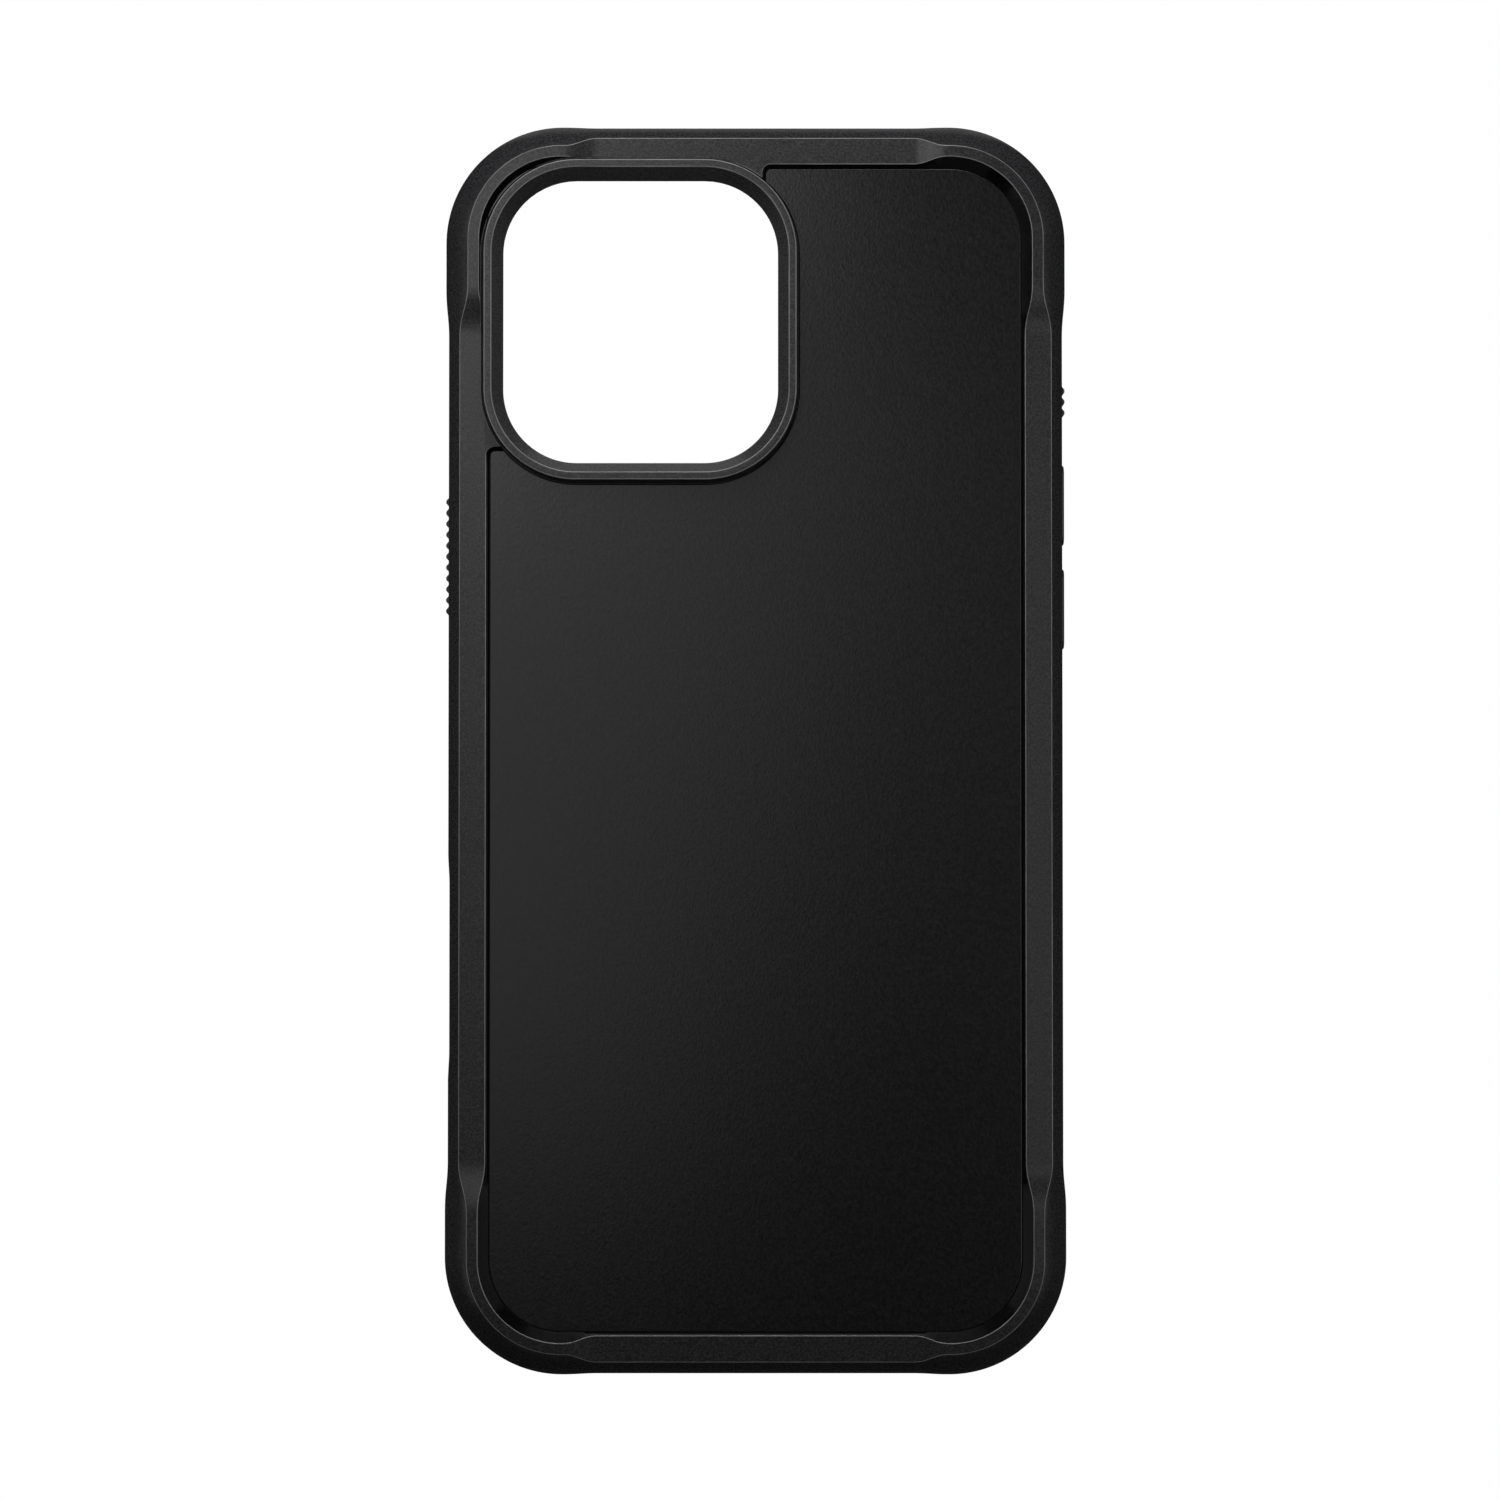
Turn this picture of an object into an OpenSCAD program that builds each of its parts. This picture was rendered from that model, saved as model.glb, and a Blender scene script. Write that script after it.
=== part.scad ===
// Rugged two-material phone case with a bonded back panel, a raised lens ring,
// a ring of magnets under the panel and four sprung side buttons.
// Frame: the case lies on its front rim at z = 0, its back looks up along +Z,
// +Y points to the end with the lens opening, and +X to the volume buttons.

/* [Phone] */
// Width of the phone that the case holds
phone_w = 77.6; // [70:0.1:96]
// Length of the phone
phone_l = 163; // [150:0.5:200]
// Thickness of the phone
phone_t = 8.25; // [7:0.05:10]
// Corner radius of the phone, seen from behind
phone_r = 12.5; // [11:0.1:15]
// Clearance between the phone and the hard core, on every side
phone_gap = 0.1; // [0.05:0.05:0.3]

/* [Core and lining] */
// Side wall of the hard core
core_wall = 1.15; // [1.1:0.05:1.6]
// Back plate of the hard core
core_plate = 1; // [0.9:0.05:1.5]
// Thickness of the fibre lining
liner_t = 0.4; // [0.2:0.05:0.8]
// How far the lining stops short of the phone's edge
liner_inset = 1.6; // [1.4:0.1:4]

/* [Bumper] */
// Soft wall outside the core along the two sides
bumper_side = 1.7; // [1.4:0.05:2.6]
// Soft wall outside the core at the two ends
bumper_end = 1.9; // [1.4:0.05:2.6]
// Thickness of the front lip, and its height above the screen
lip_t = 1.2; // [0.8:0.05:2]
// How far the front lip reaches over the phone's face
lip_over = 1.2; // [0.8:0.05:1.3]
// Width of the flat band round the back panel
band_w = 3.6; // [3.2:0.1:3.8]
// Height of the band above the core's back plate
band_rise = 1.45; // [1.2:0.05:2]
// How much lower the band's outer edge lies than its inner edge
band_fall = 0.35; // [0:0.05:0.6]
// Extra height of the four corners above the band
corner_rise = 0.8; // [0.4:0.05:1.2]
// Distance from the phone's edge to the ridge's inner edge
ridge_inset = 1.32; // [1:0.02:1.6]
// Width of the narrow ridge on the corners
ridge_w = 1.48; // [1.2:0.02:1.8]
// Swell of the corners beyond the side walls
bulge_side = 0.45; // [0.2:0.05:0.8]
// Swell of the corners beyond the end walls
bulge_end = 0.25; // [0.1:0.05:0.8]
// Straight stretch of each raised corner along the side
corner_run = 7.5; // [3:0.5:12]
// Length over which the side profile turns into the corner profile
ramp_l = 4.9; // [3:0.1:8]

/* [Back panel] */
// Thickness of the back panel
panel_t = 0.7; // [0.5:0.05:1.1]
// Open gap between the pocket's wall and the panel
groove_w = 0.1; // [0.05:0.05:0.3]
// Distance from the phone's edge to the band's inner edge
pocket_inset = 2.3; // [2:0.05:3]
// How far the pocket's wall leans in below that edge, down to the panel
pocket_slope = 0.4; // [0.2:0.05:0.6]
// Rounding of the band's two inner corners beside the lens ring
notch_r = 1.2; // [1:0.1:2]
// How far the band's flat corner stops short of the opening's far sides
web_inset = 2.15; // [1.5:0.05:4]
// Thickness of the adhesive sheet under the panel
glue_t = 0.08; // [0.05:0.01:0.15]

/* [Lens ring] */
// Width of the opening for the phone's cameras
lens_w = 37.3; // [34:0.1:40]
// Height of the opening, along the phone
lens_l = 38.4; // [34:0.1:41]
// Corner radius of the opening
lens_r = 10; // [8:0.1:12]
// Distance from the phone's side edge to the opening
lens_side = 4.55; // [4.3:0.01:6]
// Distance from the phone's top edge to the opening
lens_top = 4.4; // [4.2:0.01:6]
// Slope of the opening's wall, measured in plan
lens_slope = 1.45; // [1:0.05:1.6]
// Width of the ring's flat face
lens_face = 1.05; // [0.8:0.05:1.3]
// Height of the ring above the core's back plate
lens_rise = 3.55; // [3:0.05:4.5]
// How much wider the ring is at its foot than at its face, on every side
lens_draft = 0.2; // [0.1:0.05:0.3]
// Open gap round the ring's foot
lens_gap = 0.2; // [0.1:0.05:0.3]

/* [Magnets and antenna] */
// Outer radius of the magnet ring
magnet_ro = 27.2; // [25:0.1:28]
// Inner radius of the magnet ring
magnet_ri = 23; // [22:0.1:24]
// Thickness of the magnets
magnet_t = 0.55; // [0.3:0.05:0.6]
// Number of magnets round the ring
magnet_count = 18; // [12:1:24]
// Gap between neighbouring magnets
magnet_gap = 0.35; // [0.2:0.05:0.6]
// Thickness of the film that carries the magnets
film_t = 0.1; // [0.05:0.05:0.15]
// Distance from the lens opening's lower edge down to the ring's centre
magnet_drop = 38.7; // [37:0.1:60]
// Length of the straight magnet below the ring
aligner_l = 18; // [10:0.5:20]
// Width of the straight magnet below the ring
aligner_w = 5.8; // [4:0.1:7]
// Distance from the ring to the straight magnet
aligner_gap = 3.5; // [2.5:0.1:6]
// Outer radius of the antenna coil
coil_ro = 20.5; // [15:0.5:21]
// Number of turns in the antenna coil
coil_turns = 4; // [2:1:6]

/* [Buttons] */
// Height of each button, across the phone's thickness
button_h = 4.4; // [3:0.1:5]
// Length of the ribbed power button
power_l = 17.66; // [14:0.1:20]
// Length of the ribbed action button
action_l = 7.05; // [6:0.1:9]
// Length of each smooth volume button
volume_l = 11; // [8:0.1:12]
// Distance from the phone's top edge to the power button's centre
power_at = 55.25; // [50:0.1:60]
// Distance from the phone's top edge to the action button's centre
action_at = 34.1; // [30:0.1:36]
// Distance from the phone's top edge to the upper volume button's centre
volume_up_at = 48.2; // [46:0.1:50]
// Distance from the phone's top edge to the lower volume button's centre
volume_down_at = 62.4; // [61:0.1:70]
// How far a button moves in when pressed
travel = 0.3; // [0.1:0.05:0.3]
// Clearance round a button in its window
button_gap = 0.15; // [0.1:0.05:0.25]
// Distance between two ribs
rib_pitch = 1.49; // [1:0.01:2]
// Height of the ribs
rib_h = 0.36; // [0.2:0.02:0.4]

/* [Openings] */
// Length of the finger scoop at the outer face of the side wall
scoop_l = 32.9; // [26:0.1:40]
// Height of the scoop at the outer face of the side wall
scoop_h = 10.2; // [8:0.1:10.4]
// Length of the slot at the foot of the scoop
slot_l = 20; // [16:0.1:24]
// Height of the slot, across the phone's thickness
slot_h = 5; // [4.4:0.1:5.6]
// Distance from the phone's top edge to the slot's centre
slot_at = 111.2; // [105:0.1:125]
// Width of the charging port opening
port_w = 14; // [11:0.1:16]
// Height of the charging port opening
port_h = 6.4; // [5:0.1:7]
// Length of each sound slot
sound_l = 12.5; // [8:0.1:14]
// Height of each sound slot
sound_h = 2.4; // [1.6:0.1:3]
// Distance from the middle of the case to each sound slot's centre
sound_at = 19; // [18:0.1:22]

/* [Hidden] */

$fn = 64;
bond_gap = 0.03;        // left free between parts that are moulded or glued together

// Bumper surface
arc_steps = 14;         // stations round each corner
ramp_steps = 6;         // stations along each ramp into a raised corner
shoulder_steps = 4;     // points up the leaning part of the outer wall
rim_r = 0.9;            // rounding of the front rim's outer edge
lip_chamfer = 0.35;     // chamfer of the lip's inner edge
edge_soft = 0.14;       // softening of the band's and the ridge's edges
side_drop = 1.5;        // the side wall starts to lean in this far below the back plate
corner_drop = 2.4;      // and the corners' outer wall this far below it

// Levels, from the front rim up
z_glass = lip_t;
z_mid = lip_t + phone_t / 2;
z_liner = lip_t + phone_t + phone_gap;
z_plate = z_liner + liner_t;
z_deck = z_plate + core_plate;
z_panel = z_deck + panel_t;
z_band = z_deck + band_rise;
z_ridge = z_band + corner_rise;
ridge_fall = band_fall * ridge_w / band_w;
z_lens = z_deck + lens_rise;

// Centre of the corner arcs, shared by every outline
arc_x = phone_w / 2 - phone_r;
arc_y = phone_l / 2 - phone_r;

// Distances from the phone's edge, positive outwards
core_out = phone_gap + core_wall;
seat_out = core_out + bond_gap;
side_out = seat_out + bumper_side;
end_out = seat_out + bumper_end;
pocket_foot = pocket_inset + pocket_slope;
panel_edge = pocket_foot + groove_w;

// Lens opening and ring
lens_x = -phone_w / 2 + lens_side + lens_w / 2;
lens_y = phone_l / 2 - lens_top - lens_l / 2;
ring_top = lens_slope + lens_face;
ring_foot = ring_top + lens_draft;
lens_clear = ring_foot + lens_gap;
lens_step = 0.3;        // straight foot of the opening's wall, below its slope
core_lens_gap = 0.15;   // the core's opening is this much larger than the ring's
liner_lens_gap = 0.8;   // and the lining's opening this much
glue_inset = 0.4;       // the adhesive stops this far short of the panel's edge

// The band fills the corner between itself and the lens ring up to these lines
web_x = lens_x + lens_w / 2 - web_inset;
web_y = lens_y - lens_l / 2 + web_inset;
web_root = 0.2;         // how far that corner reaches into the band

// Magnets
magnet_y = lens_y - lens_l / 2 - magnet_drop;
aligner_y = magnet_y - magnet_ro - aligner_gap - aligner_l / 2;
film_margin = 1.2;
film_gap = 0.2;         // between the film's edge and the recess it lies in
z_film = z_deck - magnet_t - film_t - bond_gap;
track_w = 0.6;
track_pitch = 1.1;
track_t = 0.06;
chip_w = 3;
chip_t = 0.35;

// Buttons: a flange behind the soft wall keeps each cap in, and a pad on the flange
// reaches through the core to the phone's own button
stop_gap = 0.05;        // left at each end of the travel
flange_t = 0.45;
flange_side = 0.8;
flange_rise = 0.5;
flange_x = phone_w / 2 + core_out - stop_gap;
pad_t = 0.4;
pad_h = 2.4;
pad_inset = 1.2;
pad_x = flange_x - flange_t;
ledge_x = pad_x - travel - stop_gap;
wall_x = phone_w / 2 + side_out;
plinth = 0.08;          // the ribs stand on a plinth this far proud of the wall
rib_foot = 1.12;
rib_tip = 0.32;
rib_margin = 1.1;
plain_proud = 0.35;
button_r = 1.3;
crown_ease = 0.2;

// Cuts run past the faces they open
past = 2;
slot_r = 1.5;
scoop_r = 4.5;
flare = 0.3;            // the core's openings are this much larger than the bumper's

// Rounded rectangle at a distance from the phone's edge
module phone_outline(out) {
    rounded(phone_w + 2 * out, phone_l + 2 * out, phone_r + out);
}

// Rounded rectangle with true arcs, centred
module rounded(w, l, r) {
    square([w - 2 * r, l], center = true);
    square([w, l - 2 * r], center = true);
    for (x = [-1, 1], y = [-1, 1])
        translate([x * (w / 2 - r), y * (l / 2 - r)]) circle(r);
}

// Outline of the lens opening at a distance from its edge
module lens_outline(out) {
    translate([lens_x, lens_y])
        rounded(lens_w + 2 * out, lens_l + 2 * out, lens_r + out);
}

// Sharp corner left between a square corner and an arc of radius r
module fillet_corner(r) {
    difference() {
        square(r);
        translate([r, r]) circle(r);
    }
}

// ---- Bumper: one closed loft round the case ----

function smooth(t) = t * t * (3 - 2 * t);

// Stations of one quadrant: [centre x, centre y, normal x, normal y, corner weight]
quadrant = concat(
    [for (i = [0:ramp_steps])
        let (t = i / ramp_steps)
        [arc_x, arc_y - corner_run - ramp_l * (1 - t), 1, 0, smooth(t)]],
    [for (i = [0:arc_steps])
        let (a = 90 * i / arc_steps)
        [arc_x, arc_y, cos(a), sin(a), 1]],
    [for (i = [1:ramp_steps])
        let (t = i / ramp_steps)
        [arc_x - ramp_l * t, arc_y, 0, 1, smooth(1 - t)]]);

function flip(q, x, y) = [for (s = q) [s[0] * x, s[1] * y, s[2] * x, s[3] * y, s[4]]];
function backwards(q) = [for (i = [len(q) - 1:-1:0]) q[i]];

stations = concat(quadrant, backwards(flip(quadrant, -1, 1)),
    flip(quadrant, -1, -1), backwards(flip(quadrant, 1, -1)));

// A profile runs from the front rim up the outside, over the band, down into the
// pocket and back under the core. Each point is [distance out from the phone's edge, z].
function rim(wall) = [for (a = [0, 30, 60, 90])
    [wall - rim_r * (1 - sin(a)), rim_r * (1 - cos(a))]];

// Above height z0 the outer wall leans in along a parabola, up to the edge at [out, z1]
function shoulder(wall, z0, out, z1) = [for (i = [0:shoulder_steps])
    let (t = i / shoulder_steps)
    [wall - (wall - out) * t * t, z0 + (z1 - z0) * t]];

// Top with softened edges, from out0 in to out1, that falls a little to its outer edge
function top_face(out0, out1, z, fall) = [
    [out0 - edge_soft / 6, z - fall - edge_soft / 2], [out0 - edge_soft, z - fall],
    [out1 + edge_soft, z], [out1, z - edge_soft]];

function under_side() = [
    [-pocket_foot, z_panel], [-pocket_foot, z_deck + bond_gap], [seat_out, z_deck + bond_gap],
    [seat_out, z_glass], [-lip_over, z_glass],
    [-lip_over, lip_chamfer], [-lip_over + lip_chamfer, 0]];

function side_profile(wall) = concat(rim(wall),
    shoulder(wall, z_plate - side_drop, band_w - pocket_inset,
        z_band - band_fall - 1.5 * edge_soft),
    top_face(band_w - pocket_inset, -pocket_inset, z_band, band_fall), under_side());

function corner_profile(wall) = concat(rim(wall),
    shoulder(wall, z_plate - corner_drop, ridge_w - ridge_inset,
        z_ridge - ridge_fall - 1.5 * edge_soft),
    top_face(ridge_w - ridge_inset, -ridge_inset, z_ridge, ridge_fall), under_side());

// The profile at one station, somewhere between the side's and the corner's
function section(s) =
    let (nx = s[2], ny = s[3], weight = s[4],
         wall = side_out * nx * nx + end_out * ny * ny,
         swell = bulge_side * nx * nx + bulge_end * ny * ny,
         side = side_profile(wall), corner = corner_profile(wall + swell))
    [for (i = [0:len(side) - 1])
        let (p = side[i] * (1 - weight) + corner[i] * weight, r = phone_r + p[0])
        [s[0] + nx * r, s[1] + ny * r, p[1]]];

module loft() {
    n = len(stations);
    m = len(side_profile(side_out));
    polyhedron(
        points = [for (s = stations) each section(s)],
        faces = [for (i = [0:n - 1], j = [0:m - 1])
            let (k = (i + 1) % n, l = (j + 1) % m)
            each [[i * m + j, i * m + l, k * m + l], [i * m + j, k * m + l, k * m + j]]]);
}

// The band's flat corner between the pocket and the lens ring. The pocket's two ends
// have rounded inside corners, and its foot is a step that the panel lies against.
module web() {
    web_layer(z_deck + bond_gap, z_panel, pocket_slope);
    web_layer(z_deck + bond_gap, z_band, 0);
}

module web_layer(z0, z1, out) {
    translate([0, 0, z0])
        linear_extrude(z1 - z0)
            intersection() {
                phone_outline(web_root - pocket_inset);
                union() {
                    notch(out);
                    notch_corners(out, notch_r - out);
                }
            }
}

// The part of the back that belongs to the lens ring, up and left of two straight edges
module notch(out) {
    translate([-phone_w, web_y - out]) square([phone_w + web_x + out, phone_l]);
}

// The two places where those edges meet the outline of the panel or of its pocket
module notch_corners(out, r) {
    translate([web_x + out, phone_l / 2 - pocket_inset - out])
        rotate(-90) fillet_corner(r);
    translate([-phone_w / 2 + pocket_inset + out, web_y - out])
        rotate(-90) fillet_corner(r);
}

module bumper_frame() color([0.16, 0.16, 0.17]) {
    difference() {
        union() {
            loft();
            web();
        }
        translate([0, 0, z_plate]) linear_extrude(z_lens) lens_outline(lens_clear);
        for (b = [0:3]) at_button(b)
            button_prism(button_length(b) / 2 + button_gap, button_h / 2 + button_gap,
                phone_w / 2, wall_x + past);
        scoop();
        end_openings(0);
    }
}

// ---- Openings in the side and end walls ----

// A rounded block that lies along a side wall, from x = x0 to x1
module wall_prism(l, h, r, x0, x1) {
    translate([x0, 0, 0]) rotate([90, 0, 90]) linear_extrude(x1 - x0) rounded(l, h, r);
}

module button_prism(half_l, half_h, x0, x1) {
    wall_prism(2 * half_l, 2 * half_h, min(button_r, half_h - 0.1), x0, x1);
}

// The finger scoop narrows from the outer face of the left wall to the slot
module scoop() {
    translate([0, phone_l / 2 - slot_at, z_mid]) mirror([1, 0, 0]) hull() {
        wall_prism(scoop_l, scoop_h, scoop_r, wall_x, wall_x + past, $fn = 32);
        wall_prism(slot_l, slot_h, slot_r, phone_w / 2, phone_w / 2 + core_out, $fn = 32);
    }
}

// Charging port and the two sound slots in the lower end
module end_openings(grow) {
    translate([0, -phone_l / 2 + past, z_mid]) rotate([90, 0, 0])
        linear_extrude(end_out + 2 * past) {
            end_slot(0, port_w + 2 * grow, port_h + 2 * grow);
            for (side = [-1, 1])
                end_slot(side * sound_at, sound_l + 2 * grow, sound_h + 2 * grow);
        }
}

module end_slot(x, l, h) {
    translate([x, 0]) rounded(l, h, 0.45 * h);
}

// ---- Core ----

module core_shell() color([0.10, 0.10, 0.11]) {
    difference() {
        translate([0, 0, z_glass + bond_gap])
            linear_extrude(z_deck - z_glass - bond_gap) phone_outline(core_out);
        linear_extrude(z_plate) phone_outline(phone_gap);
        translate([0, 0, z_plate / 2]) linear_extrude(z_deck) lens_outline(core_lens_gap);
        magnet_recess();
        for (b = [0:3]) at_button(b) {
            button_prism(button_length(b) / 2 + flange_side + button_gap,
                button_h / 2 + flange_rise + button_gap, ledge_x, wall_x);
            button_prism(pad_length(b) / 2 + button_gap, pad_h / 2 + button_gap,
                phone_w / 2, wall_x);
        }
        translate([0, phone_l / 2 - slot_at, z_mid]) mirror([1, 0, 0])
            wall_prism(slot_l + 2 * flare, slot_h + 2 * flare, slot_r, phone_w / 2, wall_x);
        end_openings(flare);
    }
}

// Recess in the core's back for the film, the magnets and the coil
module magnet_recess() {
    translate([0, 0, z_film - bond_gap])
        linear_extrude(core_plate) film_outline(film_margin + film_gap);
}

// ---- Back panel, lens ring and lining ----

// Outline of the panel and of the adhesive under it
module panel_outline(out) {
    difference() {
        phone_outline(-out);
        notch(out - pocket_inset);
        notch_corners(out - pocket_inset, notch_r - pocket_slope - groove_w);
        lens_outline(lens_clear);
    }
}

module back_panel() color([0.13, 0.13, 0.13])
    translate([0, 0, z_deck + glue_t])
        linear_extrude(panel_t - glue_t) panel_outline(panel_edge);

module panel_adhesive() color([0.30, 0.30, 0.31])
    translate([0, 0, z_deck])
        linear_extrude(glue_t) panel_outline(panel_edge + glue_inset);

// A profile [x outwards from the lens opening, z] swept round the opening
module lens_sweep(points) {
    half_w = lens_w / 2 - lens_r;
    half_l = lens_l / 2 - lens_r;
    translate([lens_x, lens_y, 0]) {
        for (q = [[1, 1, 0], [-1, 1, 90], [-1, -1, 180], [1, -1, 270]])
            translate([q[0] * half_w, q[1] * half_l, 0]) rotate(q[2])
                rotate_extrude(angle = 90) translate([lens_r, 0]) polygon(points);
        for (q = [[half_w, half_l, 0], [half_l, half_w, 90]], turn = [0, 180])
            rotate(q[2] + turn) translate([q[0] + lens_r, q[1], 0]) rotate([90, 0, 0])
                linear_extrude(2 * q[1]) polygon(points);
    }
}

module lens_ring() color([0.15, 0.15, 0.16])
    lens_sweep([
        [0, z_deck], [0, z_deck + lens_step], [lens_slope, z_lens],
        [ring_top, z_lens], [ring_foot, z_deck]]);

module liner() color([0.12, 0.12, 0.12])
    translate([0, 0, z_liner])
        linear_extrude(liner_t)
            difference() {
                phone_outline(-liner_inset);
                lens_outline(liner_lens_gap);
            }

// ---- Magnets and antenna ----

// Keyhole outline round the magnet ring and the straight magnet
module film_outline(margin) {
    half_w = aligner_w / 2 + margin;
    y0 = aligner_y - aligner_l / 2 - margin;
    translate([0, magnet_y]) circle(magnet_ro + margin);
    translate([-half_w, y0]) square([2 * half_w, magnet_y - y0]);
}

module magnet_film() color([0.75, 0.72, 0.62])
    translate([0, 0, z_film]) linear_extrude(film_t) film_outline(film_margin);

module magnet_segments() color([0.62, 0.63, 0.65]) {
    step = 360 / magnet_count;
    gap = magnet_gap / magnet_ri * 180 / PI;
    for (i = [0:magnet_count - 1])
        translate([0, magnet_y, z_film + film_t]) rotate(i * step + gap / 2)
            rotate_extrude(angle = step - gap)
                translate([magnet_ri, 0]) square([magnet_ro - magnet_ri, magnet_t]);
}

module aligning_magnet() color([0.62, 0.63, 0.65])
    translate([-aligner_w / 2, aligner_y - aligner_l / 2, z_film + film_t])
        cube([aligner_w, aligner_l, magnet_t]);

// Half a turn of flat track, on the side given by the angle
module half_track(r, angle) {
    rotate(angle)
        intersection() {
            difference() {
                circle(r);
                circle(r - track_w);
            }
            translate([-r, 0]) square([2 * r, r]);
        }
}

// One flat spiral track: each turn is two half circles with centres half a pitch apart
module antenna_coil() color([0.72, 0.45, 0.28])
    translate([0, magnet_y, z_film + film_t])
        linear_extrude(track_t)
            for (i = [0:coil_turns - 1]) {
                half_track(coil_ro - i * track_pitch, 0);
                translate([-track_pitch / 2, 0])
                    half_track(coil_ro - (i + 0.5) * track_pitch, 180);
            }

// The chip sits on the film at the inner end of the track
module antenna_chip() color([0.08, 0.08, 0.09])
    translate([coil_ro - coil_turns * track_pitch - track_w - chip_w - 0.1,
            magnet_y - chip_w / 2, z_film + film_t])
        cube([chip_w, chip_w, chip_t]);

// ---- Buttons: 0 power, 1 action, 2 volume up, 3 volume down ----

function button_length(b) = [power_l, action_l, volume_l, volume_l][b];
function button_at(b) = [power_at, action_at, volume_up_at, volume_down_at][b];
function pad_length(b) = button_length(b) - 2 * pad_inset;

// The power button is on the left wall and the others are on the right
module at_button(b) {
    translate([0, phone_l / 2 - button_at(b), z_mid])
        mirror([b == 0 ? 1 : 0, 0, 0]) children();
}

// Ribs with flat tops, spread evenly about the middle
function ribs(l) =
    let (n = floor((l - rib_margin) / rib_pitch), x0 = wall_x + plinth, x1 = x0 + rib_h)
    [for (i = [0:n - 1])
        let (y = (i - (n - 1) / 2) * rib_pitch)
        each [[x0, y - rib_foot / 2], [x1, y - rib_tip / 2],
              [x1, y + rib_tip / 2], [x0, y + rib_foot / 2]]];

// Plain crown with eased ends
function plain(l) =
    let (x1 = wall_x + plain_proud, e = crown_ease)
    [[x1 - e, -l / 2 + e / 2], [x1, -l / 2 + 2 * e], [x1, l / 2 - 2 * e], [x1 - e, l / 2 - e / 2]];

// The crown's outline is drawn in plan and cut to a block with rounded ends
module button_cap(b) {
    l = button_length(b);
    x0 = flange_x - flange_t;
    at_button(b) {
        intersection() {
            translate([0, 0, -button_h / 2])
                linear_extrude(button_h)
                    polygon(concat(
                        [[x0, -l / 2], [wall_x - crown_ease, -l / 2], [wall_x, -l / 2 + crown_ease]],
                        b < 2 ? ribs(l) : plain(l),
                        [[wall_x, l / 2 - crown_ease], [wall_x - crown_ease, l / 2], [x0, l / 2]]));
            button_prism(l / 2, button_h / 2, x0, wall_x + past);
        }
        button_prism(l / 2 + flange_side, button_h / 2 + flange_rise, x0, flange_x);
    }
}

module button_pad(b) {
    at_button(b)
        button_prism(pad_length(b) / 2, pad_h / 2, pad_x - pad_t, pad_x);
}

cap_colour = [0.09, 0.09, 0.10];
pad_colour = [0.20, 0.20, 0.21];

module power_button_cap() color(cap_colour) button_cap(0);
module power_button_pad() color(pad_colour) button_pad(0);
module action_button_cap() color(cap_colour) button_cap(1);
module action_button_pad() color(pad_colour) button_pad(1);
module volume_up_cap() color(cap_colour) button_cap(2);
module volume_up_pad() color(pad_colour) button_pad(2);
module volume_down_cap() color(cap_colour) button_cap(3);
module volume_down_pad() color(pad_colour) button_pad(3);

bumper_frame();
core_shell();
back_panel();
panel_adhesive();
lens_ring();
liner();
magnet_film();
magnet_segments();
aligning_magnet();
antenna_coil();
antenna_chip();
power_button_cap();
power_button_pad();
action_button_cap();
action_button_pad();
volume_up_cap();
volume_up_pad();
volume_down_cap();
volume_down_pad();
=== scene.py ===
import math
import bpy
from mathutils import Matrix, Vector
from mathutils.kdtree import KDTree


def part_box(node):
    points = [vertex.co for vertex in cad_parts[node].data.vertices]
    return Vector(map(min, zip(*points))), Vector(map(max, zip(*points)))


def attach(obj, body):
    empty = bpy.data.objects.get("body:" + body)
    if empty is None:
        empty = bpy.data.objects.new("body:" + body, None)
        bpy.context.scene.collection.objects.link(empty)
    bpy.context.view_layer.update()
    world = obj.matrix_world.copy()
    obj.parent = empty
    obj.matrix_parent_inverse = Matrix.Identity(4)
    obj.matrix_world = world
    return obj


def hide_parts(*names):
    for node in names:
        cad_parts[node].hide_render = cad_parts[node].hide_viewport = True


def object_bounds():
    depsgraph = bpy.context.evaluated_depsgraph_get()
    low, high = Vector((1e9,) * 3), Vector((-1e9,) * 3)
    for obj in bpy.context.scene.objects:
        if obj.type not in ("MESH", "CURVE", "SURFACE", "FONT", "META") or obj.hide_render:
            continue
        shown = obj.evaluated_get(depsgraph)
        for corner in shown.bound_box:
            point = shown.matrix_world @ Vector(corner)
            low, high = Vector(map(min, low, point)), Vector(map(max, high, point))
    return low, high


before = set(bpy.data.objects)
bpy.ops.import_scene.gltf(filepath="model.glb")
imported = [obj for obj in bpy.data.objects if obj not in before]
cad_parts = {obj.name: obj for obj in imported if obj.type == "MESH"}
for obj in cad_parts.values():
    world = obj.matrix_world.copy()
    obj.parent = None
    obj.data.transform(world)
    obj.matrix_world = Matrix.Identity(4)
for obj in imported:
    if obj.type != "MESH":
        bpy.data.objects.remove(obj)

cad_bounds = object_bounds()
MM = 0.001


# ---- Camera and studio ----
# The case lies on its front rim on a white table and is seen from almost straight above.
# Soft boxes stand round it, the strongest on the right, with low strips along the sides and
# lamps below the table for the light that a white table throws back.
low, high = cad_bounds
middle = (low + high) / 2
camera_tilt = math.radians(1.4)
camera_distance = 0.6
camera_aim = Vector((-0.75 * MM, -0.13 * MM, 7 * MM))
bpy.ops.object.camera_add(
    location=camera_aim + Vector((0, -math.sin(camera_tilt), math.cos(camera_tilt))) * camera_distance,
    rotation=(camera_tilt, 0, 0))
camera = bpy.context.object
camera.data.sensor_width = 36
camera.data.lens = 105.57
camera.data.clip_start = 0.01
bpy.context.scene.camera = camera
bpy.context.scene.view_settings.view_transform = "Standard"


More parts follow.
